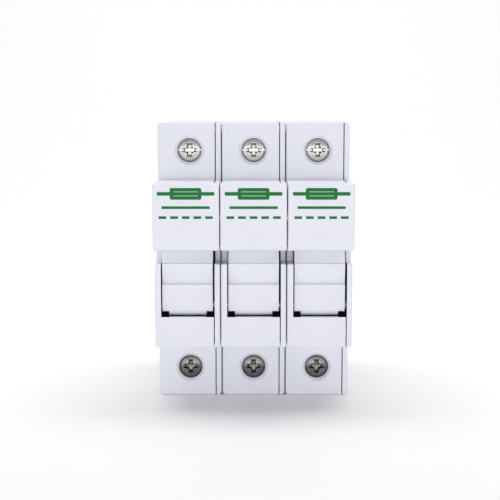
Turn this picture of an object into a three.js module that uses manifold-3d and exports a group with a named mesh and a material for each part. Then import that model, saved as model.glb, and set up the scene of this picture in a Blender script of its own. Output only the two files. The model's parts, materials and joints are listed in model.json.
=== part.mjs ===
// Three-pole holder for 10 x 38 mm cartridge fuses, clipped on a 35 mm rail.
// Millimetres, +Z up, the front faces -Y. The origin is the middle of the rail seat.
// Each pole is a moulded shell closed by a side cover. A hinged carrier holds the fuse
// and swings it out of two sprung contacts, and a cage clamp at each end takes a wire.
import * as THREE from 'three';
import { mergeVertices } from 'three/addons/utils/BufferGeometryUtils.js';
import Module from 'manifold-3d';

const wasm = await Module();
wasm.setup();

// ---- Driving dimensions: one pole, seen along its own centre line ----

const POLES = 3;
const POLE_PITCH = 18;
const SIDE = 8.87; // half the width of one pole
const SEAM = 7.2; // where the shell ends, and the inner face of its left wall
const COVER_INSIDE = 7.35; // inner face of the side cover
const PAST = 1; // how far a cutter runs past the face that it cuts
const OVERLAP = 0.1; // how far two pieces or cutters that are joined run into each other

const FRONT = -57.5; // front of the housing
const TERMINAL_FACE = -43.5; // front of the two terminal blocks
const BACK = 5; // rear of the housing, behind the rail
const TOP = 38.5;
const BOTTOM = -39;
const BLOCK = 22.5; // half the height of the front block
const SKIN = 1.6; // general wall thickness

// ---- Rail seat, hook and clip ----

const SEAT_HALF = 15.5; // half the height of the seat plane
const SEAT_RELIEF = 0.2; // the housing steps back this far beyond the seat
const RAIL_SLOT = { upper: 17.8, lower: -18.6 };
const HOOK = { front: 1.3, back: 3.6, tip: 15.8, root: 19 };
const CHANNEL = { half: 6.2, front: 1.05, lip: 3.8, lipHalf: 4.7 };
const CLIP = { half: 6, front: 1.5, back: 3.6, ridgeBack: 4.8, ridgeHalf: 4.5 };
const CLIP_Z = { tip: -15.7, ridgeTop: -19.5, bottom: -38.8 };
const CLIP_LIP = { slope: 1.6, thick: 1, proud: 0.3, height: 2 }; // the edge under the rail
const PULL_SLOT = { half: 2.6, low: 1.4, high: 3 }; // for a screwdriver, above the clip's end
const LUG = { half: 1.8, front: -3, top: -22.8, bottom: -24.4 };
const SPRING_POCKET = { half: 2.2, front: -3.4, top: -22.6, bottom: -33.6 };
const COIL = { radius: 1.3, wire: 0.25, turns: 6, stepsPerTurn: 8, y: -1.2, gap: 0.05 };

// ---- Front window, finger scoop and hinge ----

const WINDOW = { bottom: -14.1, top: 21 };
const PANEL_BACK = FRONT + 1.5; // rear of the panel below the window
const SCOOP = { shelf: 0.5, depth: -51.3, curveEnd: 5, top: 19.2 };
const SCOOP_PULL = { forward: 2, down: 4, up: 6 }; // handles of the scoop's curve
const CHAMBER = { back: -35.4, floor: -21 };
const CORE = { front: CHAMBER.back + 1.8, back: -1.8, far: 19.6 }; // hollows behind the fuse
const REAR_CORE = { front: -10.6, upperBack: 3.2, lowerBack: -5, near: 21.5 };
const PIVOT = { y: -54.15, z: -11.2, pin: 1.1, hole: 1.2, seat: 1.16, end: 8.4 };

// ---- Fuse ----

const FUSE = { y: -46.5, middle: -1.6, half: 19, capRadius: 5.15, capLength: 9.5 };
const TUBE = { outer: 4.8, inner: 3.2, gap: 0.05 };
const CAP = { inside: 4.85, end: 0.5, chamfer: 0.4 };
const ELEMENT = { half: 1, halfThickness: 0.1 };

// ---- Terminals: distances from the rail axis, given for both ends ----

const ENDS = {
  upper: { sign: 1, screw: 30.8, outside: TOP },
  lower: { sign: -1, screw: 31, outside: -BOTTOM },
};
const TERMINAL = { front: -36, back: -15.2, near: 25.3, reach: 6.1 };
const HEAD_HOLE = { radius: 3.35, mouth: 3.95, coneDepth: 1.2, seat: -39.9 };
const SHANK_HOLE = { radius: 2.6 }; // through the wall behind the head
const HEAD = { radius: 3.2, front: -42.6, back: -40, crown: 0.2, dome: 0.9 };
const SLOT = { half: 0.45, depth: 1.2 };
const CROSS = { half: 0.62, reach: 2.25, depth: 1.5 };
const SHANK = { radius: 2.4, end: -26.5, chamfer: 0.45 };
const CAGE = { half: 6.7, wall: 1.5, front: -29.3, frontWall: 2.4, back: -16.2, rearWall: 1.4 };
const CAGE_HALF_HEIGHT = 4.1;
const WIRE_HOLE = { half: 4.6, front: -24.7, back: -17.7 };
const BAR_SLOT_GAP = 0.15; // round the bar where it crosses the shell's walls

// ---- Contacts ----

const BAR = { half: 4.8, front: -26.3, back: -24.8, pastCage: 0.4 };
const LEG = { near: 21.7, far: 23.2 }; // the leg that crosses from the bar to the jaw
const JAW = { back: -36.4, plate: 1.2, inside: 5.3, outside: 6.1, offset: 14.6, half: 3 };
const JAW_LIP = { bend: -46.5, tip: -49.7, spread: 0.75 };
const CLAMP_SPRING = { inside: 6.25, outside: 6.65, back: -35.75, front: -45.5, half: 1.5 };

// ---- Carrier ----

const HANDLE = { half: 8.85, front: -63.5, back: -57.6, top: 22.6, bottom: 4.6, round: 2 };
const SPINE = { half: 6.95, front: -57.7, back: -51.8, top: 19 };
const GRIP = { deep: -54.5, first: 0.6, second: -4.8, front: -57.2, sink: 0.85 };
const NOSE = { half: 5.3, sideBottom: -12.6, depth: 2.05, height: 2.85 };
const CRADLE = { back: -41.4, bottom: -10, top: 5, bore: 5.05, mouth: 3.5 };
const END_STOP = { half: 6, back: -44.5, bottom: 17.6 };
const TIE_BAR = { y: -60.5, z: 13.5, radius: 1.5, hole: 1.6, end: 26.6 };

// ---- Rivets that hold the poles together: y and z of each ----

const RIVET = { radius: 1.1, hole: 1.2, head: 1.75, sink: 1.85, depth: 0.9, seat: 0.88, face: 0.12 };
const RIVETS = {
  top_rear: [-12.9, 33.6],
  bottom_rear: [-12.9, -34.1],
  top_front: [-39.6, 36.1],
  bottom_front: [-39.6, -36.5],
  hinge_side: [-53.95, -18.75],
};
const RIVET_BOSS = { back: -51.95, top: -16.5 };

const ROUND = 16; // sides of a round piece
const SMALL_ROUND = 12; // sides of a rivet

// ---- Materials ----

const moulding = new THREE.MeshStandardMaterial({ color: 0xe6e7f0, roughness: 0.38 });
const nickel = new THREE.MeshStandardMaterial({ color: 0xcfccc7, roughness: 0.3, metalness: 1 });
const steel = new THREE.MeshStandardMaterial({ color: 0x9a9ca0, roughness: 0.4, metalness: 1 });
const brass = new THREE.MeshStandardMaterial({ color: 0xc9a45c, roughness: 0.35, metalness: 1 });
const tinned = new THREE.MeshStandardMaterial({ color: 0xbfc0c2, roughness: 0.4, metalness: 1 });
const ceramic = new THREE.MeshStandardMaterial({ color: 0xf1efe6, roughness: 0.55 });

// ---- Solids ----

// Turns a closed three.js geometry into a solid that can be joined and cut.
function solid(geometry) {
  const bare = geometry.clone();
  bare.deleteAttribute('normal');
  bare.deleteAttribute('uv');
  const merged = mergeVertices(bare, 1e-4);
  const index = merged.index.array;
  const triangles = [];
  for (let i = 0; i < index.length; i += 3) {
    const corners = [index[i], index[i + 1], index[i + 2]];
    const isFlat = new Set(corners).size < 3;
    if (!isFlat) triangles.push(...corners);
  }
  return new wasm.Manifold(new wasm.Mesh({
    numProp: 3,
    vertProperties: new Float32Array(merged.attributes.position.array),
    triVerts: new Uint32Array(triangles),
  }));
}

function geometryOf(piece) {
  const mesh = piece.getMesh();
  const geometry = new THREE.BufferGeometry();
  geometry.setAttribute('position', new THREE.BufferAttribute(mesh.vertProperties, 3));
  geometry.setIndex(new THREE.BufferAttribute(mesh.triVerts, 1));
  geometry.computeVertexNormals();
  return geometry;
}

const join = (first, ...others) => others.reduce((sum, next) => sum.add(next), first);
const cut = (first, ...tools) => tools.reduce((rest, tool) => rest.subtract(tool), first);

// A box between two values on each axis, given in either order.
function block(xs, ys, zs) {
  const size = [xs, ys, zs].map(([a, b]) => Math.abs(b - a));
  const middle = [xs, ys, zs].map(([a, b]) => (a + b) / 2);
  return solid(new THREE.BoxGeometry(...size).translate(...middle));
}

const X_AXIS = new THREE.Vector3(1, 0, 0);
const Y_AXIS = new THREE.Vector3(0, 1, 0);
const Z_AXIS = new THREE.Vector3(0, 0, 1);

function extruded(shape, depth) {
  return new THREE.ExtrudeGeometry(shape, { depth, bevelEnabled: false, curveSegments: 6 });
}

// A side view, drawn in Y and Z, given a width from one X to another.
function prismX(shape, from, to) {
  const turn = new THREE.Matrix4().makeBasis(Y_AXIS, Z_AXIS, X_AXIS);
  return solid(extruded(shape, to - from).applyMatrix4(turn).translate(from, 0, 0));
}

// A plan, drawn in X and Y, given a height from one Z to another.
function prismZ(shape, from, to) {
  return solid(extruded(shape, to - from).translate(0, 0, from));
}

// A turned piece. Its profile is a list of [radius, distance along the axis].
const TURNS = {
  X: new THREE.Matrix4().makeBasis(Z_AXIS, X_AXIS, Y_AXIS),
  Y: new THREE.Matrix4(),
  Z: new THREE.Matrix4().makeBasis(Y_AXIS, Z_AXIS, X_AXIS),
};

function turned(axis, profile, centre, sides = ROUND) {
  const points = profile.map(([radius, along]) => new THREE.Vector2(radius, along));
  const geometry = new THREE.LatheGeometry(points, sides);
  return solid(geometry.applyMatrix4(TURNS[axis]).translate(...centre));
}

function rod(axis, radius, from, to, centre, sides = ROUND) {
  return turned(axis, [[0, from], [radius, from], [radius, to], [0, to]], centre, sides);
}

function polygon(points) {
  return new THREE.Shape(points.map(([u, v]) => new THREE.Vector2(u, v)));
}

// ---- Housing ----

// Side view shared by the shell and the side cover, drawn in Y and Z.
function housingOutline() {
  const shape = polygon([
    [TERMINAL_FACE, TOP],
    [TERMINAL_FACE, BLOCK],
    [FRONT, BLOCK],
    [FRONT, SCOOP.top],
  ]);
  shape.bezierCurveTo(
    SCOOP.depth - SCOOP_PULL.forward, SCOOP.top - SCOOP_PULL.down,
    SCOOP.depth, SCOOP.curveEnd + SCOOP_PULL.up,
    SCOOP.depth, SCOOP.curveEnd,
  );
  shape.lineTo(SCOOP.depth, SCOOP.shelf);
  const rest = [
    [FRONT, SCOOP.shelf],
    [FRONT, -BLOCK],
    [TERMINAL_FACE, -BLOCK],
    [TERMINAL_FACE, BOTTOM],
    [BACK, BOTTOM],
    [BACK, RAIL_SLOT.lower],
    [-SEAT_RELIEF, RAIL_SLOT.lower],
    [-SEAT_RELIEF, -SEAT_HALF],
    [0, -SEAT_HALF],
    [0, SEAT_HALF],
    [-SEAT_RELIEF, SEAT_HALF],
    [-SEAT_RELIEF, RAIL_SLOT.upper],
    [HOOK.front, RAIL_SLOT.upper],
    [HOOK.front, HOOK.tip],
    [HOOK.back, HOOK.tip],
    [BACK, HOOK.root],
    [BACK, TOP],
  ];
  rest.forEach(([y, z]) => shape.lineTo(y, z));
  return shape;
}

// Through holes for the rivets, with a sunk seat for a head in one outer face.
function rivetHoles(from, to, face, inward) {
  return Object.values(RIVETS).flatMap(([y, z]) => [
    rod('X', RIVET.hole, from - PAST, to + PAST, [0, y, z], SMALL_ROUND),
    rod('X', RIVET.sink, Math.min(face - inward, face + inward * RIVET.depth),
      Math.max(face - inward, face + inward * RIVET.depth), [0, y, z], SMALL_ROUND),
  ]);
}

// Hollow behind the window: the fuse, its jaws and the carrier work in here.
function fuseChamber() {
  const room = polygon([
    [FRONT - PAST, WINDOW.bottom],
    [PANEL_BACK, WINDOW.bottom],
    [PANEL_BACK, RIVET_BOSS.top],
    [RIVET_BOSS.back, RIVET_BOSS.top],
    [RIVET_BOSS.back, CHAMBER.floor],
    [CHAMBER.back, CHAMBER.floor],
    [CHAMBER.back, WINDOW.top],
    [FRONT - PAST, WINDOW.top],
  ]);
  return prismX(room, -SEAM, SEAM + PAST);
}

// Hollows cored out of the shell from its open side, so that its walls stay even.
function coredHollows() {
  const open = [-SEAM, SEAM + PAST];
  const middle = [CORE.front, CORE.back];
  return [
    block(open, middle, [SKIN / 2, CORE.far]),
    block(open, middle, [-SKIN / 2, -CORE.far]),
    block(open, [REAR_CORE.front, REAR_CORE.upperBack], [REAR_CORE.near, TOP - SKIN]),
    block(open, [REAR_CORE.front, REAR_CORE.lowerBack], [-REAR_CORE.near, BOTTOM + SKIN]),
  ];
}

// Room, screw hole, wire hole and contact slot of one terminal.
function terminalHollows({ sign, screw, outside }) {
  const open = [-SEAM, SEAM + PAST];
  const room = block(open, [TERMINAL.front, TERMINAL.back],
    [sign * TERMINAL.near, sign * (screw + TERMINAL.reach)]);
  const { radius, mouth, coneDepth, seat } = HEAD_HOLE;
  const screwHole = turned('Y', [
    [0, TERMINAL_FACE - PAST],
    [mouth, TERMINAL_FACE - PAST],
    [mouth, TERMINAL_FACE],
    [radius, TERMINAL_FACE + coneDepth],
    [radius, seat],
    [SHANK_HOLE.radius, seat],
    [SHANK_HOLE.radius, TERMINAL.front + PAST],
    [0, TERMINAL.front + PAST],
  ], [0, 0, sign * screw]);
  const wireHole = block([-WIRE_HOLE.half, WIRE_HOLE.half], [WIRE_HOLE.front, WIRE_HOLE.back],
    [sign * (screw + PAST), sign * (outside + PAST)]);
  const gap = BAR_SLOT_GAP;
  const slot = [-BAR.half - gap, SEAM + PAST];
  const jawPlate = [JAW.back - JAW.plate - gap, JAW.back + gap];
  return [
    room,
    screwHole,
    wireHole,
    block(slot, [jawPlate[0], BAR.back + gap], [sign * (LEG.near - gap), sign * (LEG.far + gap)]),
    block(slot, jawPlate, [sign * (WINDOW.top - PAST), sign * LEG.far]),
    block(slot, [BAR.front - gap, BAR.back + gap], [sign * LEG.far, sign * (TERMINAL.near + PAST)]),
  ];
}

// Channel that guides the rail clip, with lips behind it and a pocket for its spring.
function clipHollows() {
  const span = [BOTTOM - PAST, RAIL_SLOT.lower + PAST];
  const { half, front, lip, lipHalf } = CHANNEL;
  const pocket = SPRING_POCKET;
  return [
    block([-half, half], [front, lip], span),
    block([-lipHalf, lipHalf], [lip - OVERLAP, BACK + PAST], span),
    block([-pocket.half, pocket.half], [pocket.front, front + OVERLAP], [pocket.bottom, pocket.top]),
  ];
}

function pivotSeat(from, to) {
  return rod('X', PIVOT.seat, from, to, [0, PIVOT.y, PIVOT.z]);
}

function baseShell() {
  return cut(
    prismX(housingOutline(), -SIDE, SEAM),
    fuseChamber(),
    ...coredHollows(),
    ...terminalHollows(ENDS.upper),
    ...terminalHollows(ENDS.lower),
    ...clipHollows(),
    ...rivetHoles(-SIDE, SEAM, -SIDE, 1),
    pivotSeat(-PIVOT.end - OVERLAP, -SEAM + PAST),
  );
}

function sideCover() {
  return cut(
    prismX(housingOutline(), COVER_INSIDE, SIDE),
    ...rivetHoles(COVER_INSIDE, SIDE, SIDE, -1),
    pivotSeat(COVER_INSIDE - PAST, PIVOT.end + OVERLAP),
  );
}

// ---- Carrier ----

function handle() {
  const { half, front, back, top, bottom, round } = HANDLE;
  const shape = new THREE.Shape();
  shape.moveTo(back, top);
  shape.lineTo(front + round / 2, top);
  shape.quadraticCurveTo(front, top, front, top - round / 2);
  shape.lineTo(front, bottom + round);
  shape.quadraticCurveTo(front, bottom, front + round, bottom);
  shape.lineTo(back, bottom);
  const bar = rod('X', TIE_BAR.hole, -half - PAST, half + PAST, [0, TIE_BAR.y, TIE_BAR.z]);
  return cut(prismX(shape, -half, half), bar);
}

// Side view of the tongue: two grip facets below the handle, then the hinge nose.
function spineOutline() {
  const shape = polygon([
    [SPINE.back, SPINE.top],
    [SPINE.front, SPINE.top],
    [SPINE.front, HANDLE.bottom],
    [GRIP.deep, HANDLE.bottom],
    [GRIP.front, GRIP.first],
    [GRIP.front + GRIP.sink, GRIP.second],
    [GRIP.front, GRIP.second],
    [PIVOT.y - NOSE.depth, PIVOT.z],
  ]);
  shape.absellipse(PIVOT.y, PIVOT.z, NOSE.depth, NOSE.height, Math.PI, 2 * Math.PI, false);
  shape.lineTo(SPINE.back, CRADLE.bottom);
  return shape;
}

// Cradle that snaps round the fuse tube between the two caps.
function cradle() {
  const { back, bottom, top, bore, mouth } = CRADLE;
  const around = block([-SPINE.half, SPINE.half], [SPINE.back - OVERLAP, back], [bottom, top]);
  const tube = rod('Z', bore, bottom - PAST, top + PAST, [0, FUSE.y, 0]);
  const opening = block([-mouth, mouth], [FUSE.y, back + PAST], [bottom - PAST, top + PAST]);
  return cut(around, tube, opening);
}

function carrier() {
  const noseSides = [-1, 1].map((side) => block(
    [side * NOSE.half, side * (SPINE.half + PAST)],
    [PIVOT.y - 2 * NOSE.depth, PIVOT.y + 2 * NOSE.depth],
    [NOSE.sideBottom, PIVOT.z - 2 * NOSE.height],
  ));
  const stop = block([-END_STOP.half, END_STOP.half], [SPINE.back - OVERLAP, END_STOP.back],
    [END_STOP.bottom, SPINE.top]);
  return cut(
    join(handle(), prismX(spineOutline(), -SPINE.half, SPINE.half), cradle(), stop),
    ...noseSides,
    rod('X', PIVOT.hole, -SIDE, SIDE, [0, PIVOT.y, PIVOT.z]),
  );
}

function pivotPin() {
  return rod('X', PIVOT.pin, -PIVOT.end, PIVOT.end, [0, PIVOT.y, PIVOT.z]);
}

// ---- Fuse ----

function fuseTube() {
  const reach = FUSE.half - CAP.end - TUBE.gap;
  return turned('Z', [
    [TUBE.inner, -reach],
    [TUBE.outer, -reach],
    [TUBE.outer, reach],
    [TUBE.inner, reach],
    [TUBE.inner, -reach],
  ], [0, FUSE.y, FUSE.middle]);
}

function fuseCap(sign) {
  const end = FUSE.half;
  const profile = [
    [0, end - CAP.end],
    [CAP.inside, end - CAP.end],
    [CAP.inside, end - FUSE.capLength],
    [FUSE.capRadius, end - FUSE.capLength],
    [FUSE.capRadius, end - CAP.chamfer],
    [FUSE.capRadius - CAP.chamfer, end],
    [0, end],
  ].map(([radius, along]) => [radius, sign * along]);
  if (sign < 0) profile.reverse();
  return turned('Z', profile, [0, FUSE.y, FUSE.middle]);
}

function fuseElement() {
  const { half, halfThickness } = ELEMENT;
  const reach = FUSE.half - CAP.end - 2 * TUBE.gap;
  return block([-half, half], [FUSE.y - halfThickness, FUSE.y + halfThickness],
    [FUSE.middle - reach, FUSE.middle + reach]);
}

// ---- Contacts and terminals ----

// A U in plan, with lips spread at the front: drawn in X and Y.
function jawPlan() {
  const { back, plate, inside, outside } = JAW;
  const { bend, tip, spread } = JAW_LIP;
  const half = [
    [outside, back],
    [outside, bend],
    [outside + spread, tip],
    [inside + spread, tip],
    [inside, bend],
    [inside, back - plate],
  ];
  return polygon([...half, ...half.map(([x, y]) => [-x, y]).reverse()]);
}

const jawMiddle = (sign) => FUSE.middle + sign * JAW.offset;

// Bar in the cage, leg through the housing wall, plate and jaw round the fuse cap.
function contact({ sign, screw }) {
  const middle = jawMiddle(sign);
  const barEnd = sign * (screw + CAGE_HALF_HEIGHT + BAR.pastCage);
  const strip = polygon([
    [BAR.front, barEnd],
    [BAR.front, sign * LEG.far],
    [JAW.back - JAW.plate, sign * LEG.far],
    [JAW.back - JAW.plate, middle - sign * JAW.half],
    [JAW.back, middle - sign * JAW.half],
    [JAW.back, sign * LEG.near],
    [BAR.back, sign * LEG.near],
    [BAR.back, barEnd],
  ]);
  return join(
    prismX(strip, -BAR.half, BAR.half),
    prismZ(jawPlan(), middle - JAW.half, middle + JAW.half),
  );
}

// Steel U that presses the two sides of a jaw together.
function clampSpring(sign) {
  const { inside, outside, back, front, half } = CLAMP_SPRING;
  const thickness = outside - inside;
  const plan = polygon([
    [-outside, front],
    [-inside, front],
    [-inside, back - thickness],
    [inside, back - thickness],
    [inside, front],
    [outside, front],
    [outside, back],
    [-outside, back],
  ]);
  return prismZ(plan, jawMiddle(sign) - half, jawMiddle(sign) + half);
}

function cage({ sign, screw }) {
  const { half, wall, front, frontWall, back, rearWall } = CAGE;
  const low = sign * screw - CAGE_HALF_HEIGHT;
  const high = sign * screw + CAGE_HALF_HEIGHT;
  return cut(
    block([-half, half], [front, back], [low, high]),
    block([wall - half, half - wall], [front + frontWall, back - rearWall], [low - PAST, high + PAST]),
    rod('Y', SHANK.radius + OVERLAP, front - PAST, front + frontWall + PAST, [0, 0, sign * screw]),
  );
}

// Captive screw: a domed head with a cross and a full slot, and a plain shank.
function terminalScrew({ sign, screw }) {
  const body = turned('Y', [
    [0, HEAD.front],
    [HEAD.radius * 0.6, HEAD.front + HEAD.crown],
    [HEAD.radius, HEAD.front + HEAD.dome],
    [HEAD.radius, HEAD.back],
    [SHANK.radius, HEAD.back],
    [SHANK.radius, SHANK.end - SHANK.chamfer],
    [SHANK.radius - SHANK.chamfer, SHANK.end],
    [0, SHANK.end],
  ], [0, 0, sign * screw]);
  const middle = sign * screw;
  const slot = block([-HEAD.radius - PAST, HEAD.radius + PAST],
    [HEAD.front - PAST, HEAD.front + SLOT.depth], [middle - SLOT.half, middle + SLOT.half]);
  const cross = block([-CROSS.half, CROSS.half], [HEAD.front - PAST, HEAD.front + CROSS.depth],
    [middle - CROSS.reach, middle + CROSS.reach]);
  return cut(body, slot, cross);
}

// ---- Rail clip ----

function railClip() {
  const { half, front, back, ridgeBack, ridgeHalf } = CLIP;
  const { tip, ridgeTop, bottom } = CLIP_Z;
  const { slope, thick, proud, height } = CLIP_LIP;
  const plate = prismX(polygon([
    [front, bottom],
    [back, bottom],
    [back, tip - slope],
    [back - thick, tip],
    [front - proud, tip],
    [front - proud, tip - height],
    [front, tip - height - proud],
  ]), -half, half);
  const ridge = block([-ridgeHalf, ridgeHalf], [back - OVERLAP, ridgeBack], [bottom, ridgeTop]);
  const lug = block([-LUG.half, LUG.half], [LUG.front, front + OVERLAP], [LUG.bottom, LUG.top]);
  const pullSlot = block([-PULL_SLOT.half, PULL_SLOT.half], [front - PAST, ridgeBack + PAST],
    [bottom + PULL_SLOT.low, bottom + PULL_SLOT.high]);
  return cut(join(plate, ridge, lug), pullSlot);
}

// Coil spring between the floor of its pocket and the lug of the clip.
function clipSpring() {
  const { radius, wire, turns, stepsPerTurn, y, gap } = COIL;
  const low = SPRING_POCKET.bottom + wire + gap;
  const high = LUG.bottom - wire - gap;
  const coil = new THREE.Curve();
  coil.getPoint = (t) => {
    const angle = 2 * Math.PI * turns * t;
    return new THREE.Vector3(radius * Math.cos(angle), y + radius * Math.sin(angle),
      low + (high - low) * t);
  };
  const section = new THREE.Shape();
  section.absarc(0, 0, wire, 0, 2 * Math.PI, false);
  return solid(new THREE.ExtrudeGeometry(section, {
    steps: turns * stepsPerTurn, extrudePath: coil, bevelEnabled: false, curveSegments: 3,
  }));
}

// ---- Pieces that run through all the poles ----

function longRivet([y, z]) {
  const face = SIDE + POLE_PITCH * (POLES - 1) / 2;
  const seat = face - RIVET.seat;
  const outside = face - RIVET.face;
  return turned('X', [
    [0, -outside],
    [RIVET.head, -outside],
    [RIVET.head, -seat],
    [RIVET.radius, -seat],
    [RIVET.radius, seat],
    [RIVET.head, seat],
    [RIVET.head, outside],
    [0, outside],
  ], [0, y, z], SMALL_ROUND);
}

function tieBar() {
  return rod('X', TIE_BAR.radius, -TIE_BAR.end, TIE_BAR.end, [0, TIE_BAR.y, TIE_BAR.z]);
}

// ---- Assembly ----

function named(name, geometry, material) {
  const mesh = new THREE.Mesh(geometry, material);
  mesh.name = name;
  return mesh;
}

const polePieces = [
  ['base_shell', baseShell(), moulding],
  ['side_cover', sideCover(), moulding],
  ['carrier', carrier(), moulding],
  ['pivot_pin', pivotPin(), steel],
  ['fuse_tube', fuseTube(), ceramic],
  ['fuse_cap_top', fuseCap(1), nickel],
  ['fuse_cap_bottom', fuseCap(-1), nickel],
  ['fuse_element', fuseElement(), tinned],
  ['upper_contact', contact(ENDS.upper), tinned],
  ['lower_contact', contact(ENDS.lower), tinned],
  ['upper_jaw_spring', clampSpring(1), steel],
  ['lower_jaw_spring', clampSpring(-1), steel],
  ['upper_cage', cage(ENDS.upper), brass],
  ['lower_cage', cage(ENDS.lower), brass],
  ['upper_screw', terminalScrew(ENDS.upper), nickel],
  ['lower_screw', terminalScrew(ENDS.lower), nickel],
  ['rail_clip', railClip(), moulding],
  ['clip_spring', clipSpring(), steel],
].map(([name, piece, material]) => [name, geometryOf(piece), material]);

const group = new THREE.Group();

for (let number = 1; number <= POLES; number += 1) {
  const pole = new THREE.Group();
  pole.position.x = (number - (POLES + 1) / 2) * POLE_PITCH;
  polePieces.forEach(([name, geometry, material]) => {
    pole.add(named(`${name}_${number}`, geometry, material));
  });
  group.add(pole);
}

Object.entries(RIVETS).forEach(([place, position]) => {
  group.add(named(`rivet_${place}`, geometryOf(longRivet(position)), steel));
});
group.add(named('handle_tie_bar', geometryOf(tieBar()), steel));

export default group;
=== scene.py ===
import json
import math

import bmesh
import bpy
from mathutils import Matrix, Vector


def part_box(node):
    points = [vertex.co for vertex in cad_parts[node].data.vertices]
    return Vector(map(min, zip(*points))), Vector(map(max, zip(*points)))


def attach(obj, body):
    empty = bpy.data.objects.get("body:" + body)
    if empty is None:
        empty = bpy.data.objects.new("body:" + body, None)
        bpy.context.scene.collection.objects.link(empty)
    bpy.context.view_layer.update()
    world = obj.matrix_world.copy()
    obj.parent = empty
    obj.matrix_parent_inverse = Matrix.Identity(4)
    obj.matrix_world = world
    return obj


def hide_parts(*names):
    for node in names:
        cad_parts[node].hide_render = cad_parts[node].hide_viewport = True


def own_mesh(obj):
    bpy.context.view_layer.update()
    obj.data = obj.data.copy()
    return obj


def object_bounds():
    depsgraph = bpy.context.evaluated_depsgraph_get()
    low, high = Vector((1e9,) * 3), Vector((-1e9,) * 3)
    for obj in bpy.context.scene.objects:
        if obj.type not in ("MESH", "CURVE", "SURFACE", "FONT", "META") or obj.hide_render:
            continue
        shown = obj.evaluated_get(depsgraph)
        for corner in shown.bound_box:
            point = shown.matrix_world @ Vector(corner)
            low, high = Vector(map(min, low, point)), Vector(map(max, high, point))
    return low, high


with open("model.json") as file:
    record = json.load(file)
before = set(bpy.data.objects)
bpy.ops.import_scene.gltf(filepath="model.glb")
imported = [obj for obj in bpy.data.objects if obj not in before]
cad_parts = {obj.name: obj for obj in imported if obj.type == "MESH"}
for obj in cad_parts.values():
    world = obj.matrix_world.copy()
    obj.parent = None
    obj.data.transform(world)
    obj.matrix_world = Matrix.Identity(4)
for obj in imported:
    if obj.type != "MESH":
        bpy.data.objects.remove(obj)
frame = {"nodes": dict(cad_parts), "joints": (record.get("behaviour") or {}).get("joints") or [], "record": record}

cad_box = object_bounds()

# ---- Places read from the frame, in millimetres ----

MM = 0.001
POLES = (1, 2, 3)
MIDDLE = 2
JOINTS = {joint["name"]: joint for joint in frame["joints"]}
MOUNTS = {mount["name"]: mount for mount in frame["record"]["mounts"]}


def box_mm(node):
    low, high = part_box(node)
    return low / MM, high / MM


def joint_mm(name):
    return Vector(JOINTS[name]["pos_m"]) / MM


POLE_X = {n: joint_mm(f"carrier_{n}_hinge").x for n in POLES}
SHELL_LOW, SHELL_HIGH = box_mm(f"base_shell_{MIDDLE}")
COVER_LOW, COVER_HIGH = box_mm(f"side_cover_{MIDDLE}")
CARRIER_LOW, CARRIER_HIGH = box_mm(f"carrier_{MIDDLE}")
CLIP_LOW, CLIP_HIGH = box_mm(f"rail_clip_{MIDDLE}")
PIVOT = joint_mm(f"carrier_{MIDDLE}_hinge")
SCREW_Z = {end: joint_mm(f"{end}_screw_{MIDDLE}_turn").z for end in ("upper", "lower")}
BLOCK_TOP = MOUNTS["cover_slot_upper"]["pos_m"][2] / MM
BLOCK_BOTTOM = MOUNTS["cover_slot_lower"]["pos_m"][2] / MM
RIVETS = [node for node in frame["nodes"] if node.startswith("rivet_")]
TIE_LOW, TIE_HIGH = box_mm("handle_tie_bar")

# ---- Sizes of the moulded parts, in millimetres ----

LEFT, SEAM = SHELL_LOW.x, SHELL_HIGH.x
COVER_IN, RIGHT = COVER_LOW.x, COVER_HIGH.x
FRONT, BACK = SHELL_LOW.y, SHELL_HIGH.y
BOTTOM, TOP = SHELL_LOW.z, SHELL_HIGH.z
TERMINAL_FACE = FRONT + 14
SKIN = 1.6
PAST = 1.0  # how far a cutter goes on beyond the face that it opens

SEAT_HALF = 15.5
SEAT_RELIEF = 0.2
SLOT_TOP, SLOT_BOTTOM = 17.8, -18.6
HOOK_FRONT, HOOK_BACK, HOOK_TIP, HOOK_ROOT = 1.3, 3.6, 15.8, 19.0

WINDOW_BOTTOM, WINDOW_TOP = -14.1, 21.0
PANEL_BACK = FRONT + 1.5
SCOOP_SHELF, SCOOP_DEPTH, SCOOP_TOP = 0.5, -51.3, 19.2
SCOOP_END, SCOOP_PULL, SHELF_ROUND = 5, 11, 0.8
CHAMBER_BACK, CHAMBER_FLOOR = -35.4, -21.0
CORE_FRONT, CORE_BACK, CORE_REACH = CHAMBER_BACK + 1.8, -1.8, 19.6  # hollows behind the chamber
BOSS_BACK, BOSS_TOP = -51.95, -16.5
CHEEK_IN, CHEEK_BACK, CHEEK_TOP = 5.25, -51.5, -13.3  # walls behind the notches beside the nose

TERMINAL_FRONT, TERMINAL_BACK = -36.0, -15.2
TERMINAL_NEAR, TERMINAL_REACH = 25.3, 6.1
MOUTH_RADIUS, HOLE_RADIUS, CONE_DEPTH = 3.93, 3.35, 0.8
HEAD_SEAT, SHANK_HOLE_RADIUS = -39.9, 2.6
WIRE_HALF, WIRE_FRONT, WIRE_BACK = 4.6, -24.7, -17.7
REAR_CORE_FRONT, REAR_CORE_NEAR = TERMINAL_BACK + 3 * SKIN - 0.2, 21.5  # hollows at the rear
UPPER_CORE_BACK, LOWER_CORE_BACK = 3.2, -5

CHANNEL_HALF, CHANNEL_FRONT, CHANNEL_LIP, CHANNEL_LIP_HALF = 6.2, 1.05, 3.8, 4.7
POCKET_HALF, POCKET_FRONT, POCKET_BOTTOM, POCKET_TOP = 2.2, -3.4, -33.6, -22.6
RIVET_HOLE, RIVET_SEAT, HINGE_HOLE, HINGE_REACH = 1.2, 1.85, 1.16, 8.5

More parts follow.
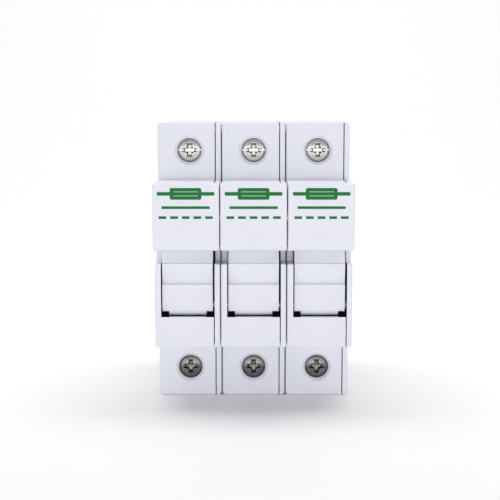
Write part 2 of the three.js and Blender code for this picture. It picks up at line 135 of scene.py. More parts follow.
HANDLE_HALF = CARRIER_HIGH.x
HANDLE_FRONT, HANDLE_TOP = CARRIER_LOW.y, CARRIER_HIGH.z
HANDLE_BACK, HANDLE_BOTTOM, HANDLE_ROUND = -57.6, 4.6, 2.0
TONGUE_HALF, TONGUE_BACK, TONGUE_TOP = 6.87, -51.8, 19.0
GRIP_DEEP, GRIP_FRONT, GRIP_SINK = -54.5, -57.2, 0.85
GRIP_FIRST, GRIP_SECOND = 0.6, -5.2
GROOVE = 0.1
NOSE_HALF, NOSE_SIDE, NOSE_DEPTH, NOSE_HEIGHT = 5.1, -12.6, 2.6, 2.85
NOTCH_FRONT, NOTCH_BACK, NOTCH_BOTTOM = -58.3, -50, -17
CRADLE_BACK, CRADLE_BOTTOM, CRADLE_TOP, CRADLE_BORE, CRADLE_MOUTH = -41.4, -10, 5, 5.05, 3.5
STOP_HALF, STOP_BACK, STOP_BOTTOM = 6, -44.5, 17.6
CARRIER_PIN_HOLE, TIE_HOLE = 1.2, 1.6

EDGE = 0.45  # radius of an ordinary moulded edge
SIDE_EDGE = 0.9  # radius of the side corners at the two ends of a pole
SEAM_EDGE, RAIL_EDGE = 0.06, 0.15
END_ZONE = 30  # distance from the middle beyond which an edge belongs to an end of the pole
SEAM_GAP = 0.2  # a quarter of it comes off each side of the seam, to widen the CAD gap

FUSE_Y, FUSE_MIDDLE, FUSE_HALF = -46.5, -1.6, 19.0
CAP_RADIUS, CAP_LENGTH, TUBE_OUTER, TUBE_INNER = 5.15, 9.5, 4.8, 3.2
BAR_HALF, BAR_FRONT, BAR_BACK = 4.8, -26.3, -24.8
LEG_NEAR, LEG_FAR = 21.7, 23.2
JAW_BACK, JAW_PLATE, JAW_IN, JAW_OUT, JAW_OFFSET, JAW_HALF = -36.4, 1.2, 5.3, 6.1, 14.6, 3.0
CONTACT_PLAY, PLATE_SLOT_NEAR = 0.15, 20  # room round a contact in its slot


# ---- Mesh helpers ----

def as_object(bm, name):
    mesh = bpy.data.meshes.new(name)
    bmesh.ops.recalc_face_normals(bm, faces=bm.faces)
    bm.to_mesh(mesh)
    bm.free()
    piece = bpy.data.objects.new(name, mesh)
    bpy.context.scene.collection.objects.link(piece)
    return piece


def arc(centre, radius, start, end, steps):
    """Points on an arc, angles in degrees."""
    angles = [math.radians(start + (end - start) * i / steps) for i in range(steps + 1)]
    return [(centre[0] + radius * math.cos(a), centre[1] + radius * math.sin(a)) for a in angles]


def rounded(points, steps=5):
    """A closed outline whose corners are rounded by the radius given third, if any."""
    outline = []
    for i, point in enumerate(points):
        here = Vector(point[:2])
        radius = point[2] if len(point) > 2 else 0
        if not radius:
            outline.append(tuple(here))
            continue
        back = (Vector(points[i - 1][:2]) - here).normalized()
        ahead = (Vector(points[(i + 1) % len(points)][:2]) - here).normalized()
        half = back.angle(ahead) / 2
        reach = radius / math.tan(half)
        centre = here + (back + ahead).normalized() * (radius / math.sin(half))
        start = (here + back * reach) - centre
        turn = start.angle_signed(here + ahead * reach - centre)
        for step in range(steps + 1):
            angle = -turn * step / steps
            x = start.x * math.cos(angle) - start.y * math.sin(angle)
            y = start.x * math.sin(angle) + start.y * math.cos(angle)
            outline.append((centre.x + x, centre.y + y))
    return outline


def at(value, place, slack=0.1):
    """Whether a coordinate lies at a place, give or take what rounding moves it."""
    return abs(value - place) < slack


PLACED = {
    "X": lambda u, v, w: (w, u, v),
    "Y": lambda u, v, w: (u, w, v),
    "Z": lambda u, v, w: (u, v, w),
}


def prism(outline, axis, low, high, grow=0.0):
    """An outline in the other two axes, given a length along this one. The far end may grow."""
    place = PLACED[axis]
    middle = Vector((0, 0))
    for point in outline:
        middle += Vector(point) / len(outline)
    bm = bmesh.new()
    near = [bm.verts.new(place(u, v, low)) for u, v in outline]
    wide = [middle + (Vector(p) - middle) * (1 + grow) for p in outline]
    far = [bm.verts.new(place(p.x, p.y, high)) for p in wide]
    bm.faces.new(near)
    bm.faces.new(list(reversed(far)))
    for i in range(len(outline)):
        j = (i + 1) % len(outline)
        bm.faces.new((near[j], near[i], far[i], far[j]))
    return as_object(bm, "prism")


def slab(xs, ys, zs):
    bm = bmesh.new()
    bmesh.ops.create_cube(bm, size=1)
    size = [abs(b - a) for a, b in (xs, ys, zs)]
    middle = [(a + b) / 2 for a, b in (xs, ys, zs)]
    bmesh.ops.transform(bm, matrix=Matrix.Translation(middle) @ Matrix.Diagonal((*size, 1)),
                        verts=bm.verts)
    return as_object(bm, "slab")


def turned(profile, axis, centre, sides=64):
    """A profile of (radius, distance along the axis), turned about it."""
    bm = bmesh.new()
    rings = []
    for radius, along in profile:
        if radius < 1e-6:
            rings.append([bm.verts.new(turned_point(axis, centre, 0, along, 0))])
            continue
        rings.append([bm.verts.new(turned_point(axis, centre, radius, along,
                                                2 * math.pi * i / sides)) for i in range(sides)])
    closed = profile[0][0] > 1e-6
    pairs = list(zip(rings, rings[1:])) + ([(rings[-1], rings[0])] if closed else [])
    for first, second in pairs:
        for i in range(sides):
            j = (i + 1) % sides
            corners = [first[i % len(first)], first[j % len(first)],
                       second[j % len(second)], second[i % len(second)]]
            unique = list(dict.fromkeys(corners))
            if len(unique) > 2:
                bm.faces.new(unique)
    return as_object(bm, "turned")


def turned_point(axis, centre, radius, along, angle):
    u, v = radius * math.cos(angle), radius * math.sin(angle)
    offset = {"X": (along, u, v), "Y": (u, along, v), "Z": (u, v, along)}[axis]
    return Vector(centre) + Vector(offset)


def rod(radius, axis, low, high, centre, sides=64):
    return turned([(0, low), (radius, low), (radius, high), (0, high)], axis, centre, sides)


def bake(piece):
    """Applies the piece's modifiers to its mesh."""
    graph = bpy.context.evaluated_depsgraph_get()
    graph.update()
    mesh = bpy.data.meshes.new_from_object(piece.evaluated_get(graph))
    piece.modifiers.clear()
    piece.data = mesh
    return piece


def combine(piece, others, operation):
    for other in others:
        modifier = piece.modifiers.new("combine", "BOOLEAN")
        modifier.operation = operation
        modifier.solver = "EXACT"
        modifier.object = other
        bake(piece)
        bpy.data.objects.remove(other)
    return piece


def carve(piece, cutters):
    return combine(piece, cutters, "DIFFERENCE")


def weld(piece, others):
    return combine(piece, others, "UNION")


def soften(piece, radius_of, segments=3):
    """Rounds each sharp edge by the radius that radius_of(edge) gives, in millimetres."""
    bm = bmesh.new()
    bm.from_mesh(piece.data)
    weights = bm.edges.layers.float.get("bevel_weight_edge")
    if weights is None:
        weights = bm.edges.layers.float.new("bevel_weight_edge")
    for edge in bm.edges:
        sharp = len(edge.link_faces) == 2 and edge.calc_face_angle(0) > math.radians(28)
        edge[weights] = radius_of(edge) if sharp else 0
    bm.to_mesh(piece.data)
    bm.free()
    modifier = piece.modifiers.new("soften", "BEVEL")
    modifier.limit_method = "WEIGHT"
    modifier.offset_type = "OFFSET"
    modifier.width = 1
    modifier.segments = segments
    modifier.use_clamp_overlap = False
    return bake(piece)


def every_edge(radius):
    return lambda edge: radius


def tidy_mesh(piece):
    """Welds stray doubles and dissolves what is flat, so that shading stays even."""
    bm = bmesh.new()
    bm.from_mesh(piece.data)
    bmesh.ops.remove_doubles(bm, verts=bm.verts, dist=0.0005)
    bmesh.ops.dissolve_degenerate(bm, edges=bm.edges, dist=0.0005)
    bm.to_mesh(piece.data)
    bm.free()
    return piece


def middle_of(edge):
    return (edge.verts[0].co + edge.verts[1].co) / 2


def finish_shading(piece, angle=32):
    tidy_mesh(piece)
    piece.data.transform(Matrix.Diagonal((MM, MM, MM, 1)))
    piece.data.shade_smooth()
    piece.data.set_sharp_from_angle(angle=math.radians(angle))
    modifier = piece.modifiers.new("even_normals", "WEIGHTED_NORMAL")
    modifier.keep_sharp = True
    return piece


# ---- Materials ----

def new_material(name):
    material = bpy.data.materials.new(name)
    material.use_nodes = True
    nodes = material.node_tree.nodes
    shader = next(node for node in nodes if node.type == "BSDF_PRINCIPLED")
    return material, nodes, material.node_tree.links, shader


def noise(nodes, links, scale, detail=3, stretch=(1, 1, 1)):
    """Noise in the object's own metres, at that many features a metre."""
    coordinates = nodes.new("ShaderNodeTexCoord")
    mapping = nodes.new("ShaderNodeMapping")
    mapping.inputs["Scale"].default_value = stretch
    texture = nodes.new("ShaderNodeTexNoise")
    texture.inputs["Scale"].default_value = scale
    texture.inputs["Detail"].default_value = detail
    links.new(coordinates.outputs["Object"], mapping.inputs["Vector"])
    links.new(mapping.outputs["Vector"], texture.inputs["Vector"])
    return texture.outputs["Fac"]


def blend_colours(nodes, links, factor, dark, light, socket):
    ramp = nodes.new("ShaderNodeValToRGB")
    ramp.color_ramp.elements[0].position = 0.3
    ramp.color_ramp.elements[0].color = (*dark, 1)
    ramp.color_ramp.elements[1].position = 0.7
    ramp.color_ramp.elements[1].color = (*light, 1)
    links.new(factor, ramp.inputs["Fac"])
    links.new(ramp.outputs["Color"], socket)


def spread(nodes, links, factor, low, high, socket):
    mapped = nodes.new("ShaderNodeMapRange")
    mapped.inputs["To Min"].default_value = low
    mapped.inputs["To Max"].default_value = high
    links.new(factor, mapped.inputs["Value"])
    links.new(mapped.outputs["Result"], socket)


def bumps(nodes, links, height, strength, distance, shader):
    bump = nodes.new("ShaderNodeBump")
    bump.inputs["Strength"].default_value = strength
    bump.inputs["Distance"].default_value = distance
    links.new(height, bump.inputs["Height"])
    links.new(bump.outputs["Normal"], shader.inputs["Normal"])


def moulded_plastic():
    """Cool white thermoplastic: faint flow marks, a fine spark-eroded grain, satin gloss."""
    material, nodes, links, shader = new_material("moulded_plastic")
    blend_colours(nodes, links, noise(nodes, links, 90, 4, (1, 1, 0.35)),
                  (0.790, 0.800, 0.880), (0.815, 0.824, 0.900), shader.inputs["Base Color"])
    spread(nodes, links, noise(nodes, links, 700, 2), 0.34, 0.46, shader.inputs["Roughness"])
    bumps(nodes, links, noise(nodes, links, 5200, 2), 0.12, 0.00003, shader)
    shader.inputs["IOR"].default_value = 1.5
    return material


def painted_shade_moulding():
    """The same moulding deep in the joints, painted dull and near black as shade."""
    material, nodes, links, shader = new_material("painted_shade_moulding")
    blend_colours(nodes, links, noise(nodes, links, 400, 3),
                  (0.014, 0.014, 0.015), (0.022, 0.022, 0.024), shader.inputs["Base Color"])
    spread(nodes, links, noise(nodes, links, 700, 2), 0.7, 0.9, shader.inputs["Roughness"])
    shader.inputs["Specular IOR Level"].default_value = 0.05
    return material


def printed_ink():
    """Pad-printed green ink, thin enough to break up a little."""
    material, nodes, links, shader = new_material("printed_ink")
    blend_colours(nodes, links, noise(nodes, links, 2600, 3),
                  (0.003, 0.165, 0.028), (0.008, 0.205, 0.042), shader.inputs["Base Color"])
    spread(nodes, links, noise(nodes, links, 3000, 2), 0.5, 0.7, shader.inputs["Roughness"])
    shader.inputs["Specular IOR Level"].default_value = 0.25
    return material


def metal(name, dark, light, low, high, grain, bump=0.1, stretch=(1, 1, 1)):
    """A metal whose colour, gloss and surface vary with a grain of that scale."""
    material, nodes, links, shader = new_material(name)
    shader.inputs["Metallic"].default_value = 1.0
    factor = noise(nodes, links, grain, 4, stretch)
    blend_colours(nodes, links, noise(nodes, links, grain / 6, 3), dark, light,
                  shader.inputs["Base Color"])
    spread(nodes, links, factor, low, high, shader.inputs["Roughness"])
    bumps(nodes, links, factor, bump, 0.00004, shader)
    return material


def fired_ceramic():
    material, nodes, links, shader = new_material("fired_ceramic")
    blend_colours(nodes, links, noise(nodes, links, 500, 5),
                  (0.74, 0.71, 0.64), (0.83, 0.81, 0.75), shader.inputs["Base Color"])
    spread(nodes, links, noise(nodes, links, 1500, 3), 0.45, 0.65, shader.inputs["Roughness"])
    bumps(nodes, links, noise(nodes, links, 4000, 3), 0.2, 0.00003, shader)
    return material


MOULDING = moulded_plastic()
# Near-black moulding for faces deep in the joints: painted shade.
PAINTED_SHADE = painted_shade_moulding()
INK = printed_ink()
NICKEL = metal("nickel_plate", (0.56, 0.54, 0.50), (0.70, 0.68, 0.63), 0.16, 0.30, 1800)
SCREW_NICKEL = metal("screw_nickel", (0.50, 0.49, 0.46), (0.64, 0.62, 0.58), 0.28, 0.42, 1500)
# A darker copy of the screw nickel for the lower screws: painted shade.
SHADED_NICKEL = metal("shaded_nickel", (0.14, 0.14, 0.14), (0.22, 0.22, 0.21), 0.28, 0.42, 1500)
STEEL = metal("zinc_steel", (0.42, 0.43, 0.45), (0.55, 0.56, 0.58), 0.28, 0.45, 1600)
BRASS = metal("drawn_brass", (0.60, 0.42, 0.16), (0.74, 0.54, 0.24), 0.25, 0.42, 1400)
TINNED = metal("tinned_copper", (0.55, 0.54, 0.53), (0.66, 0.66, 0.66), 0.32, 0.5, 1500)
CERAMIC = fired_ceramic()


# ---- Placing the pieces ----

def publish(piece, name, body, nodes, material, painted_shade_mask=None):
    """Names a finished piece, gives it its finish and ties it to its body and CAD nodes.

    The mask given last says which faces, by their middle in millimetres, lie deep in the joints; those faces get
    the near-black moulding, which is painted shade."""
    piece.name = name
    piece.data.name = name
    piece.data.materials.clear()
    piece.data.materials.append(material)
    if painted_shade_mask:
        # faces in the mask take the near-black moulding: painted shade
        piece.data.materials.append(PAINTED_SHADE)
        for face in piece.data.polygons:
            if painted_shade_mask(face.center / MM, face.normal):
                face.material_index = 1
    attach(piece, body)
    if nodes:
        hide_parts(*nodes)
    return piece


def copies(piece, name, body, nodes, material, painted_shade_mask=None, height=0):
    """One copy of a finished piece in each pole; {} in a name stands for the pole's number."""
    for n in POLES:
        twin = piece.copy()
        bpy.context.scene.collection.objects.link(twin)
        twin.location = (POLE_X[n] * MM, 0, height * MM)
        twin.data = piece.data.copy()
        publish(twin, name.format(n), body.format(n), [node.format(n) for node in nodes],
                material, painted_shade_mask)
    bpy.data.objects.remove(piece)


# ---- Housing ----

def housing_outline():
    """Side view in Y and Z, shared by the shell and the side cover."""
    curve = []
    steps = 14
    start, end = Vector((FRONT, SCOOP_TOP)), Vector((SCOOP_DEPTH, SCOOP_END))
    pull_a, pull_b = Vector((SCOOP_DEPTH - 2, SCOOP_TOP - 4)), Vector((SCOOP_DEPTH, SCOOP_PULL))
    for i in range(steps + 1):
        t = i / steps
        point = (start * (1 - t) ** 3 + pull_a * 3 * t * (1 - t) ** 2
                 + pull_b * 3 * t * t * (1 - t) + end * t ** 3)
        curve.append(tuple(point))
    shelf = arc((SCOOP_DEPTH - SHELF_ROUND, SCOOP_SHELF + SHELF_ROUND), SHELF_ROUND, 0, -90, 5)
    return [
        (TERMINAL_FACE, TOP), (TERMINAL_FACE, BLOCK_TOP), (FRONT, BLOCK_TOP),
        *curve, *shelf,
        (FRONT, SCOOP_SHELF), (FRONT, BLOCK_BOTTOM), (TERMINAL_FACE, BLOCK_BOTTOM),
        (TERMINAL_FACE, BOTTOM), (BACK, BOTTOM), (BACK, SLOT_BOTTOM),
        (-SEAT_RELIEF, SLOT_BOTTOM), (-SEAT_RELIEF, -SEAT_HALF), (0, -SEAT_HALF),
        (0, SEAT_HALF), (-SEAT_RELIEF, SEAT_HALF), (-SEAT_RELIEF, SLOT_TOP),
        (HOOK_FRONT, SLOT_TOP), (HOOK_FRONT, HOOK_TIP), (HOOK_BACK, HOOK_TIP),
        (BACK, HOOK_ROOT), (BACK, TOP),
    ]


def housing_blank(low, high, outer_x):
    """The outline given its width, with its outer edges rounded and its seam edges crisp."""
    blank = prism(housing_outline(), "X", low, high)

    def radius(edge):
        a, b = edge.verts
        middle = middle_of(edge)
        in_rail_slot = middle.y > -1 and abs(middle.z) < SLOT_TOP + 1.5
        near_end = abs(middle.z) > END_ZONE
        if in_rail_slot:
            return RAIL_EDGE
        if not at(a.co.x, b.co.x):
            inner = at(middle.y, TERMINAL_FACE) and not near_end
            shelf = at(middle.y, FRONT) and at(middle.z, SCOOP_SHELF)
            return 0.2 if inner else 0.3 if shelf else EDGE
        if not at(middle.x, outer_x):
            return SEAM_EDGE
        return SIDE_EDGE if near_end and not at(a.co.y, b.co.y) else EDGE

    blank = soften(blank, radius, 4)
    for vertex in blank.data.vertices:  # a corner where two radii meet may swell past the side
        vertex.co.x = min(max(vertex.co.x, low), high)
    return blank


def rivet_cutters(low, high, face, inward):
    """Clear holes for the rivets, with a sunk seat for each head in the outer face."""
    cutters = []
    for node in RIVETS:
        a, b = box_mm(node)
        centre = (0, (a.y + b.y) / 2, (a.z + b.z) / 2)
        ends = sorted((face - inward, face + inward * 0.9))
        cutters.append(rod(RIVET_HOLE, "X", low - PAST, high + PAST, centre, 32))
        cutters.append(rod(RIVET_SEAT, "X", *ends, centre, 32))
    return cutters


def pivot_cutter(low, high):
    return rod(HINGE_HOLE, "X", low, high, (0, PIVOT.y, PIVOT.z), 32)


def terminal_cutters(end):
    """Hole and seat for the screw, the room behind it and the wire's way in."""
    z = SCREW_Z[end]
    sign = 1 if z > 0 else -1
    outside = TOP if z > 0 else BOTTOM
    room_z = sorted((sign * TERMINAL_NEAR, z + sign * TERMINAL_REACH))
    hole = turned([
        (0, TERMINAL_FACE - PAST), (MOUTH_RADIUS + 0.15, TERMINAL_FACE - PAST),
        (MOUTH_RADIUS + 0.15, TERMINAL_FACE), (MOUTH_RADIUS, TERMINAL_FACE + 0.15),
        (HOLE_RADIUS, TERMINAL_FACE + CONE_DEPTH), (HOLE_RADIUS, HEAD_SEAT),
        (SHANK_HOLE_RADIUS, HEAD_SEAT), (SHANK_HOLE_RADIUS, TERMINAL_FRONT + PAST),
        (0, TERMINAL_FRONT + PAST),
    ], "Y", (0, 0, z), 72)
    wire = rounded([(-WIRE_HALF, WIRE_FRONT, 1.6), (WIRE_HALF, WIRE_FRONT, 1.6),
                    (WIRE_HALF, WIRE_BACK, 1.6), (-WIRE_HALF, WIRE_BACK, 1.6)], 6)
    way_in = prism(wire, "Z", z + sign, outside + sign * PAST)
    funnel = prism(wire, "Z", outside - sign * 0.9, outside + sign * 0.3, grow=0.2)
    return [hole, slab((-SEAM, SEAM + PAST), (TERMINAL_FRONT, TERMINAL_BACK), room_z),
            way_in, funnel]


def chamber_cutter():
    outline = [
        (FRONT - PAST, WINDOW_BOTTOM), (PANEL_BACK, WINDOW_BOTTOM), (PANEL_BACK, BOSS_TOP),
        (BOSS_BACK, BOSS_TOP), (BOSS_BACK, CHAMBER_FLOOR), (CHAMBER_BACK, CHAMBER_FLOOR),
        (CHAMBER_BACK, WINDOW_TOP), (FRONT - PAST, WINDOW_TOP),
    ]
    return prism(outline, "X", -SEAM, SEAM + PAST)


def contact_slot_cutters(sign):
    """Room for a contact's leg, for the plate of its jaw and for its bar."""
    slot = (-BAR_HALF - CONTACT_PLAY, SEAM + PAST)
    front, back = JAW_BACK - JAW_PLATE - CONTACT_PLAY, BAR_BACK + CONTACT_PLAY
    near, far = LEG_NEAR - CONTACT_PLAY, LEG_FAR + CONTACT_PLAY
    return [
        slab(slot, (front, back), (sign * near, sign * far)),
        slab(slot, (front, JAW_BACK + CONTACT_PLAY), (sign * PLATE_SLOT_NEAR, sign * LEG_FAR)),
        slab(slot, (BAR_FRONT - CONTACT_PLAY, back),
             (sign * LEG_FAR, sign * (TERMINAL_NEAR + PAST))),
    ]


def clip_cutters():
    span = (BOTTOM - PAST, SLOT_BOTTOM + PAST)
    return [
        slab((-CHANNEL_HALF, CHANNEL_HALF), (CHANNEL_FRONT, CHANNEL_LIP), span),
        slab((-CHANNEL_LIP_HALF, CHANNEL_LIP_HALF), (CHANNEL_LIP - 0.1, BACK + PAST), span),
        slab((-POCKET_HALF, POCKET_HALF), (POCKET_FRONT, CHANNEL_FRONT + 0.1),
             (POCKET_BOTTOM, POCKET_TOP)),
    ]


def base_shell():
    shell = housing_blank(LEFT, SEAM - SEAM_GAP / 4, LEFT)
    open_side = (-SEAM, SEAM + PAST)
    shell = carve(shell, [
        chamber_cutter(),
        slab(open_side, (CORE_FRONT, CORE_BACK), (SKIN / 2, CORE_REACH)),
        slab(open_side, (CORE_FRONT, CORE_BACK), (-CORE_REACH, -SKIN / 2)),
        slab(open_side, (REAR_CORE_FRONT, UPPER_CORE_BACK), (REAR_CORE_NEAR, TOP - SKIN)),
        slab(open_side, (REAR_CORE_FRONT, LOWER_CORE_BACK), (BOTTOM + SKIN, -REAR_CORE_NEAR)),
        *terminal_cutters("upper"), *terminal_cutters("lower"),
        *contact_slot_cutters(1), *contact_slot_cutters(-1),
        *clip_cutters(),
        *rivet_cutters(LEFT, SEAM, LEFT, 1),
        pivot_cutter(-HINGE_REACH, -SEAM + PAST),
    ])
    cheeks = [slab(sorted((side * CHEEK_IN, side * (SEAM - 0.1))), (BOSS_BACK - 0.1, CHEEK_BACK),
                   (CHAMBER_FLOOR - 0.1, CHEEK_TOP)) for side in (-1, 1)]
    return split_across(weld(shell, cheeks), (-NOSE_HALF, NOSE_HALF))


def split_across(piece, places):
    """Parts the faces at these distances across the pole, and moves nothing."""
    bm = bmesh.new()
    bm.from_mesh(piece.data)
    for x in places:
        bmesh.ops.bisect_plane(bm, geom=[*bm.verts, *bm.edges, *bm.faces],
                               plane_co=(x, 0, 0), plane_no=(1, 0, 0))
    bm.to_mesh(piece.data)
    bm.free()
    return piece


def side_cover():
    cover = housing_blank(COVER_IN + SEAM_GAP / 4, RIGHT, RIGHT)
    return carve(cover, [*rivet_cutters(COVER_IN, RIGHT, RIGHT, -1),
                         pivot_cutter(COVER_IN - PAST, HINGE_REACH)])


def in_painted_shade(point, normal):
    """Faces of the seam and of the chamber behind the tongue, which see almost no light and are painted near black
    as shade.
    """
    in_seam = at(point.x, (SEAM + COVER_IN) / 2, SEAM_GAP) and abs(normal.x) > 0.9
    in_chamber = (FRONT + 0.3 < point.y < CHAMBER_BACK + 0.1
                  and abs(point.x) < COVER_IN + SEAM_GAP
                  and CHAMBER_FLOOR - 0.1 < point.z < WINDOW_TOP + 0.1)
    under_nose = at(point.z, WINDOW_BOTTOM) and abs(point.x) < NOSE_HALF
    return in_seam or (in_chamber and not under_nose)


# The faces of the seam and of the chamber get painted shade.
copies(finish_shading(base_shell()), "housing_shell_{}", "base", ["base_shell_{}"],
       MOULDING, in_painted_shade)
copies(finish_shading(side_cover()), "housing_cover_{}", "base", ["side_cover_{}"],
       MOULDING, in_painted_shade)


# ---- Carrier ----

PRINT_DEPTH = 0.02  # how far the print stands on the front of the handle


def handle_blank():
    front = HANDLE_FRONT + PRINT_DEPTH
    outline = [(HANDLE_BACK, HANDLE_TOP), (front, HANDLE_TOP), (front, HANDLE_BOTTOM),
               (HANDLE_BACK, HANDLE_BOTTOM)]
    blank = prism(outline, "X", -HANDLE_HALF, HANDLE_HALF)

    def radius(edge):
        middle = middle_of(edge)
        at_front = at(middle.y, front)
        at_bottom = at(middle.z, HANDLE_BOTTOM)
        if at_front and at_bottom:
            return HANDLE_ROUND
        if at_bottom:
            return 0.6
        return 0.35 if at_front else 0.25

    return soften(blank, radius, 5)


def tongue_blank():
    nose = [(PIVOT.y + NOSE_DEPTH * math.cos(a), PIVOT.z + NOSE_HEIGHT * math.sin(a))
            for a in (math.pi + math.pi * i / 20 for i in range(21))]
    outline = [
        (TONGUE_BACK, TONGUE_TOP), (HANDLE_BACK - 0.1, TONGUE_TOP),
        (HANDLE_BACK - 0.1, HANDLE_BOTTOM + 0.02), (GRIP_DEEP, HANDLE_BOTTOM + 0.02),
        (GRIP_FRONT, GRIP_FIRST + GROOVE), (GRIP_FRONT + 5 * GROOVE, GRIP_FIRST + GROOVE),
        (GRIP_FRONT + 5 * GROOVE, GRIP_FIRST - GROOVE), (GRIP_FRONT, GRIP_FIRST - GROOVE),
        (GRIP_FRONT + GRIP_SINK, GRIP_SECOND),
        (GRIP_FRONT, GRIP_SECOND), *nose, (TONGUE_BACK, CRADLE_BOTTOM),
    ]
    return prism(outline, "X", -TONGUE_HALF, TONGUE_HALF)


def carrier():
    """Handle and tongue, with the cradle that holds the fuse and the stop above it."""
    past_cradle = (CRADLE_BOTTOM - PAST, CRADLE_TOP + PAST)
    cradle = carve(
        slab((-TONGUE_HALF, TONGUE_HALF), (TONGUE_BACK - 0.1, CRADLE_BACK),
             (CRADLE_BOTTOM, CRADLE_TOP)),
        [rod(CRADLE_BORE, "Z", *past_cradle, (0, FUSE_Y, 0)),
         slab((-CRADLE_MOUTH, CRADLE_MOUTH), (FUSE_Y, CRADLE_BACK + PAST), past_cradle)])
    stop = slab((-STOP_HALF, STOP_HALF), (TONGUE_BACK - 0.1, STOP_BACK), (STOP_BOTTOM, TONGUE_TOP))
    notches = [slab(sorted((side * NOSE_HALF, side * (TONGUE_HALF + PAST))),
                    (NOTCH_FRONT, NOTCH_BACK), (NOTCH_BOTTOM, NOSE_SIDE)) for side in (-1, 1)]
    tie = (TIE_LOW + TIE_HIGH) / 2
    reach = HANDLE_HALF + PAST
    return carve(weld(handle_blank(), [tongue_blank(), cradle, stop]), [
        *notches,
        rod(CARRIER_PIN_HOLE, "X", -reach, reach, (0, PIVOT.y, PIVOT.z), 32),
        rod(TIE_HOLE, "X", -reach, reach, (0, tie.y, tie.z), 48),
    ])


copies(finish_shading(carrier()), "fuse_carrier_{}", "carrier_{}", ["carrier_{}"],
       MOULDING)

# ---- Marks printed on the handles: the fuse symbol over the direct-current symbol ----

MARK_ROWS = {"fuse": 20.0, "solid": 16.35, "dashed": 13.7}
STROKE = 0.7
FUSE_MARK = {"wide": 15.2, "body": 8.4, "high": 3.1, "stroke": 0.95}
SOLID_WIDE, DASHED_WIDE, DASHES = 12.8, 14.4, 5


def mark_bar(x_low, x_high, z, high=STROKE):
    """One printed bar: a film of ink that stands on the front of the handle."""
    corner = min(high, x_high - x_low) * 0.15
    outline = rounded([(x_low, z - high / 2, corner), (x_high, z - high / 2, corner),
                       (x_high, z + high / 2, corner), (x_low, z + high / 2, corner)], 3)
    return prism(outline, "Y", HANDLE_FRONT, HANDLE_FRONT + 2 * PRINT_DEPTH)


def handle_marks():
    z = MARK_ROWS["fuse"]
    wide, body, high, stroke = (FUSE_MARK[key] for key in ("wide", "body", "high", "stroke"))
    frame_part = carve(mark_bar(-body / 2, body / 2, z, high), [
        slab((-body / 2 + stroke, body / 2 - stroke), (HANDLE_FRONT - PAST, HANDLE_BACK),
             (z - high / 2 + stroke, z + high / 2 - stroke))])
    bars = [mark_bar(-wide / 2, wide / 2, z, stroke),
            mark_bar(-SOLID_WIDE / 2, SOLID_WIDE / 2, MARK_ROWS["solid"])]
    step = DASHED_WIDE / (DASHES - 1 / 3)
    for i in range(DASHES):
        start = -DASHED_WIDE / 2 + i * step
        bars.append(mark_bar(start, start + step * 2 / 3, MARK_ROWS["dashed"]))
    return weld(frame_part, bars)


copies(finish_shading(handle_marks()), "handle_marks_{}", "carrier_{}", [], INK)


# ---- Terminal screws ----

HEAD_RADIUS, HEAD_FRONT, HEAD_BACK = 3.2, -42.6, -40.0
SHANK_RADIUS, SHANK_END = 2.4, -26.5
THREAD_PITCH, THREAD_DEPTH = 0.8, 0.36
SCREW_CROWN, HEAD_ROUND = 0.6, 0.15
SLOT_HALF, SLOT_DEPTH = 0.42, 0.9
CROSS_HALF, CROSS_REACH, CROSS_DEPTH = 0.62, 2.25, 1.5
SLOT_FLARE, SLOT_TAPER, CROSS_FLARE = 0.05, 0.24, 0.25
RECESS_EDGE = 0.03


def screw_head():
    """A domed head: part of a sphere, with a small round at the rim."""
    sphere = (HEAD_RADIUS ** 2 + SCREW_CROWN ** 2) / (2 * SCREW_CROWN)
    steps = [(HEAD_RADIUS - HEAD_ROUND) * i / 12 for i in range(13)]
    crown = [(r, HEAD_FRONT + sphere - math.sqrt(sphere ** 2 - r ** 2)) for r in steps]
    rim = [(HEAD_RADIUS, HEAD_FRONT + SCREW_CROWN + HEAD_ROUND / 2),
           (HEAD_RADIUS, HEAD_BACK - 0.15), (HEAD_RADIUS - 0.15, HEAD_BACK)]
    root = SHANK_RADIUS - THREAD_DEPTH
    neck = [(root, HEAD_BACK), (root, HEAD_BACK + 0.4), (0, HEAD_BACK + 0.4)]
    return turned([*crown, *rim, *neck], "Y", (0, 0, 0), 96)


def screw_recess():
    """A full-width slot across a cross whose arms narrow towards the bottom."""
    front, deep = HEAD_FRONT - 0.5, HEAD_FRONT + CROSS_DEPTH
    slot_deep, slot_narrow = HEAD_FRONT + SLOT_DEPTH, SLOT_HALF - SLOT_TAPER
    slot = prism([(front, -SLOT_HALF - SLOT_FLARE), (front, SLOT_HALF + SLOT_FLARE),
                  (slot_deep, slot_narrow), (slot_deep, -slot_narrow)],
                 "X", -HEAD_RADIUS - PAST, HEAD_RADIUS + PAST)
    arms = []
    for angle in (0, 90):
        bm = bmesh.new()
        wide = CROSS_REACH + CROSS_FLARE
        rows = [(front, wide, CROSS_HALF + 0.06), (deep, CROSS_REACH * 0.55, CROSS_HALF * 0.75)]
        rings = [[bm.verts.new((sx * reach, y, sz * half))
                  for sx, sz in ((-1, -1), (1, -1), (1, 1), (-1, 1))] for y, reach, half in rows]
        bm.faces.new(rings[0])
        bm.faces.new(list(reversed(rings[1])))
        for i in range(4):
            j = (i + 1) % 4
            bm.faces.new((rings[0][j], rings[0][i], rings[1][i], rings[1][j]))
        bmesh.ops.rotate(bm, cent=(0, 0, 0), matrix=Matrix.Rotation(math.radians(angle), 3, "Y"),
                         verts=bm.verts)
        arms.append(as_object(bm, "arm"))
    socket = turned([(0, front), (CROSS_HALF * 2.3, front), (CROSS_HALF * 1.1, deep),
                     (0, deep + 0.25)], "Y", (0, 0, 0), 32)
    return [slot, *arms, socket]


